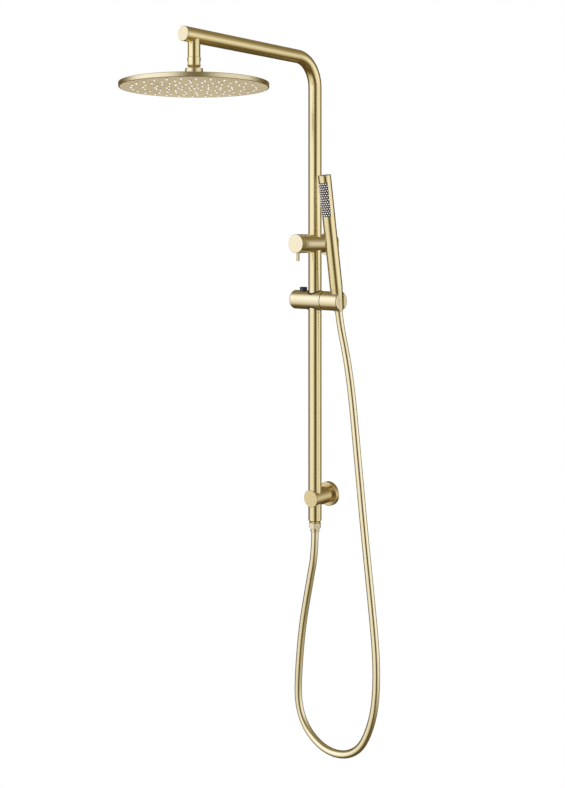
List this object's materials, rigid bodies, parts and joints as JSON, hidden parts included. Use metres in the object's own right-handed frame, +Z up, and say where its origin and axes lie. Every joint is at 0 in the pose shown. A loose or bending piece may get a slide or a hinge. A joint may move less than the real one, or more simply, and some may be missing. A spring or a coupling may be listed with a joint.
{
  "type": "shower column",
  "caption": "Wall-mounted shower column with a swan-neck riser, round overhead rain head, turning diverter, sliding tilting holder, stick handset and flexible hose.",
  "frame": {"origin": "centre of the lower bracket's wall face, on the wall plane", "axes": "+Z up, +Y into the wall (the room is at -Y), +X to the right seen from the room"},
  "size_m": [0.2602, 0.495, 1.3216],
  "materials": {
    "gold": "brushed champagne gold",
    "gold_pale": "satin pale gold",
    "gold_face": "matte champagne gold",
    "raw_brass": "machined",
    "hose_skin": "smooth metallised gold jacket",
    "black_plastic": "satin",
    "grey_plastic": "satin",
    "white_plastic": "moulded",
    "silicone": "translucent soft silicone",
    "ceramic": "lapped ceramic",
    "steel": "plain",
    "seal_rubber": "matte"
  },
  "bodies": {
    "column": {"riser_arm_tube": "gold", "arm_end_cap": "gold", "drop_spigot": "gold", "diverter_body": "gold", "diverter_cartridge": "white_plastic", "fixed_ceramic_disc": "ceramic", "cartridge_nut": "raw_brass", "upper_wall_flange": "gold", "wall_inlet_union": "raw_brass", "tube_o_rings": "seal_rubber", "lower_rail_tube": "gold", "lower_bracket_body": "gold", "lower_wall_flange": "gold", "lower_wall_plate": "raw_brass", "bracket_grub_screw": "steel", "hose_outlet_nipple": "raw_brass", "ball_nut": "gold", "shower_hose": "hose_skin", "hose_lower_nut": "gold_pale", "hose_lower_ferrule": "gold", "hose_lower_washer": "seal_rubber"},
    "diverter_handle": {"diverter_knob": "gold", "diverter_lever_pin": "gold", "diverter_spindle": "raw_brass", "moving_ceramic_disc": "ceramic", "knob_grub_screw": "steel"},
    "ball_seat": {"ball_seat_ring": "white_plastic"},
    "head": {"ball_stem": "raw_brass", "head_collar_nut": "gold", "head_top_shell": "gold", "head_face_plate": "gold_face", "head_nozzles": "silicone", "head_seal_ring": "seal_rubber", "head_filter": "white_plastic"},
    "slider": {"slider_body": "gold", "slider_bush": "black_plastic", "button_spring": "steel", "friction_washer": "black_plastic", "pivot_screw": "steel"},
    "button": {"slider_button": "black_plastic"},
    "clamp": {"clamp_shoe": "black_plastic"},
    "holder": {"handset_holder": "gold", "holder_liner": "grey_plastic"},
    "handset": {"handset_tube": "gold", "handset_end_cap": "gold", "handset_waterway": "white_plastic", "handset_nozzles": "silicone", "handset_inlet_connector": "raw_brass", "hose_cone_nut": "gold", "hose_cone_washer": "seal_rubber"}
  },
  "joints": [
    {"name": "diverter_turn", "type": "hinge", "parent": "column", "child": "diverter_handle", "pos_m": [0, -0.0955, 0.48], "axis": [0, 1, 0], "range_deg": [0, 90]},
    {"name": "head_tilt_side", "type": "hinge", "parent": "column", "child": "ball_seat", "pos_m": [0, -0.37, 0.7795], "axis": [0, 1, 0], "range_deg": [-10, 10]},
    {"name": "head_tilt_front", "type": "hinge", "parent": "ball_seat", "child": "head", "pos_m": [0, -0.37, 0.7795], "axis": [1, 0, 0], "range_deg": [-10, 10]},
    {"name": "slider_slide", "type": "slide", "parent": "column", "child": "slider", "axis": [0, 0, 1], "range_m": [-0.325, 0.06], "deforming": ["shower_hose"]},
    {"name": "button_press", "type": "slide", "parent": "slider", "child": "button", "axis": [0, 0, -1], "range_m": [0, 0.0025], "stiffness_N_per_m": 600, "springref_m": -0.002, "deforming": ["button_spring"]},
    {"name": "shoe_release", "type": "slide", "parent": "slider", "child": "clamp", "axis": [-1, 0, 0], "range_m": [0, 0.001]},
    {"name": "holder_tilt", "type": "hinge", "parent": "slider", "child": "holder", "pos_m": [0.024, -0.046, 0.373], "axis": [1, 0, 0], "range_deg": [-15, 35], "deforming": ["shower_hose"]},
    {"name": "handset_lift", "type": "slide", "parent": "holder", "child": "handset", "axis": [0, -0.1702, 0.9854], "range_m": [0, 0.035], "deforming": ["shower_hose"]}
  ],
  "couplings": [
    {"joint": "shoe_release", "follows": "button_press", "ratio": 0.4}
  ]
}
